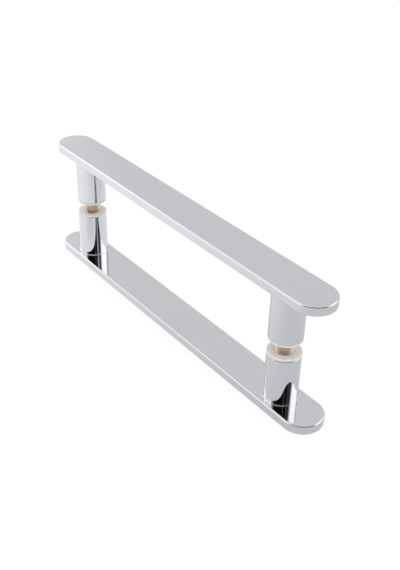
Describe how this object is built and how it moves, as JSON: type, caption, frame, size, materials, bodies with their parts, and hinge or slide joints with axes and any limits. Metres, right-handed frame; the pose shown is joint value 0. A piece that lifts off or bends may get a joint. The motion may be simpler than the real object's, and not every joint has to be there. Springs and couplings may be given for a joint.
{
  "type": "back-to-back glass door pull handle",
  "caption": "Back-to-back pull handle for a glass door: flat, round-ended chrome bars on turned posts, clamped through the glass by studs in clear sleeves and washers.",
  "frame": {"origin": "the middle of the glass, midway between the two fixing holes; also the centre of the object's box", "axes": "+X along the bars, +Y across the bars, +Z through the glass from the inner bar to the outer bar"},
  "size_m": [0.264, 0.026, 0.084],
  "materials": {
    "chrome": "polished",
    "clear_washer": "clear, soft",
    "clear_sleeve": "clear",
    "brass": "turned",
    "steel_screw": "plain"
  },
  "bodies": {
    "root": {"outer_bar": "chrome", "inner_bar": "chrome", "outer_post_left": "chrome", "inner_post_left": "chrome", "outer_bar_stud_left": "steel_screw", "inner_bar_stud_left": "steel_screw", "outer_washer_left": "clear_washer", "inner_washer_left": "clear_washer", "sleeve_left": "clear_sleeve", "through_stud_left": "brass", "grub_screw_left": "steel_screw", "outer_post_right": "chrome", "inner_post_right": "chrome", "outer_bar_stud_right": "steel_screw", "inner_bar_stud_right": "steel_screw", "outer_washer_right": "clear_washer", "inner_washer_right": "clear_washer", "sleeve_right": "clear_sleeve", "through_stud_right": "brass", "grub_screw_right": "steel_screw"}
  },
  "joints": []
}
